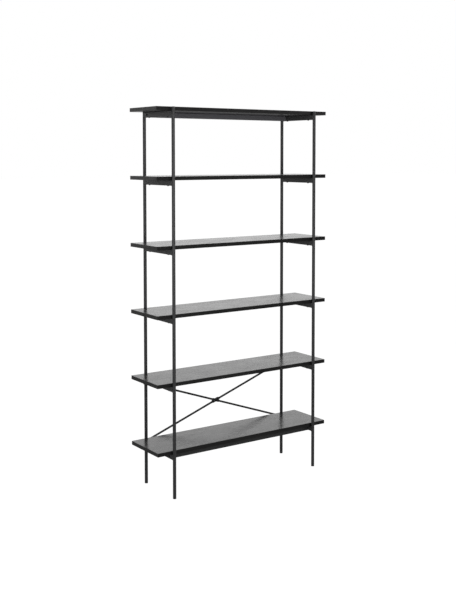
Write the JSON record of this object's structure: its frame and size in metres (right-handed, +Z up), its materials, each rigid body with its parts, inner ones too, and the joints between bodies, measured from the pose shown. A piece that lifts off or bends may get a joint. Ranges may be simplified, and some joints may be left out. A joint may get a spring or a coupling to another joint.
{
  "type": "bookcase",
  "caption": "Tall open bookcase: black wood shelf boards between slim round steel posts, with a crossed rod brace behind the lowest bay.",
  "frame": {"origin": "on the floor, under the middle of the shelf boards", "axes": "+X along the shelves to the right seen from the front, +Y to the rear, +Z up"},
  "size_m": [1, 0.296, 1.826],
  "materials": {
    "board_veneer": "black-stained ash veneer, satin lacquer",
    "board_edge": "black-stained edging, satin lacquer",
    "frame_steel": "matt black powder coat",
    "fastener": "black zinc plating",
    "plastic": "matt black moulded plastic"
  },
  "bodies": {
    "frame": {"shelf_board_1": "board_veneer", "shelf_board_2": "board_veneer", "shelf_board_3": "board_veneer", "shelf_board_4": "board_veneer", "shelf_board_5": "board_veneer", "shelf_board_6": "board_veneer", "edge_band_1": "board_edge", "edge_band_2": "board_edge", "edge_band_3": "board_edge", "edge_band_4": "board_edge", "edge_band_5": "board_edge", "edge_band_6": "board_edge", "post_front_left": "frame_steel", "post_front_right": "frame_steel", "post_rear_left": "frame_steel", "post_rear_right": "frame_steel", "crossbar_left_1": "frame_steel", "crossbar_left_2": "frame_steel", "crossbar_left_3": "frame_steel", "crossbar_left_4": "frame_steel", "crossbar_left_5": "frame_steel", "crossbar_left_6": "frame_steel", "crossbar_right_1": "frame_steel", "crossbar_right_2": "frame_steel", "crossbar_right_3": "frame_steel", "crossbar_right_4": "frame_steel", "crossbar_right_5": "frame_steel", "crossbar_right_6": "frame_steel", "top_rear_rail": "frame_steel", "bottom_front_rail": "frame_steel", "rail_end_plugs": "fastener", "rail_bolts": "fastener", "board_screws": "fastener", "brace_rod_front": "frame_steel", "brace_rod_rear": "frame_steel", "brace_end_screws": "fastener", "brace_centre_screw": "fastener", "brace_centre_nut": "fastener", "post_cap_front_left": "plastic", "post_cap_front_right": "plastic", "post_cap_rear_left": "plastic", "post_cap_rear_right": "plastic", "foot_insert_front_left": "plastic", "foot_insert_front_right": "plastic", "foot_insert_rear_left": "plastic", "foot_insert_rear_right": "plastic"},
    "foot_front_left": {"foot_stem_front_left": "fastener", "foot_pad_front_left": "plastic"},
    "foot_front_right": {"foot_stem_front_right": "fastener", "foot_pad_front_right": "plastic"},
    "foot_rear_left": {"foot_stem_rear_left": "fastener", "foot_pad_rear_left": "plastic"},
    "foot_rear_right": {"foot_stem_rear_right": "fastener", "foot_pad_rear_right": "plastic"}
  },
  "joints": [
    {"name": "foot_front_left_adjust", "type": "slide", "parent": "frame", "child": "foot_front_left", "axis": [0, 0, -1], "range_m": [0, 0.008]},
    {"name": "foot_front_right_adjust", "type": "slide", "parent": "frame", "child": "foot_front_right", "axis": [0, 0, -1], "range_m": [0, 0.008]},
    {"name": "foot_rear_left_adjust", "type": "slide", "parent": "frame", "child": "foot_rear_left", "axis": [0, 0, -1], "range_m": [0, 0.008]},
    {"name": "foot_rear_right_adjust", "type": "slide", "parent": "frame", "child": "foot_rear_right", "axis": [0, 0, -1], "range_m": [0, 0.008]}
  ]
}
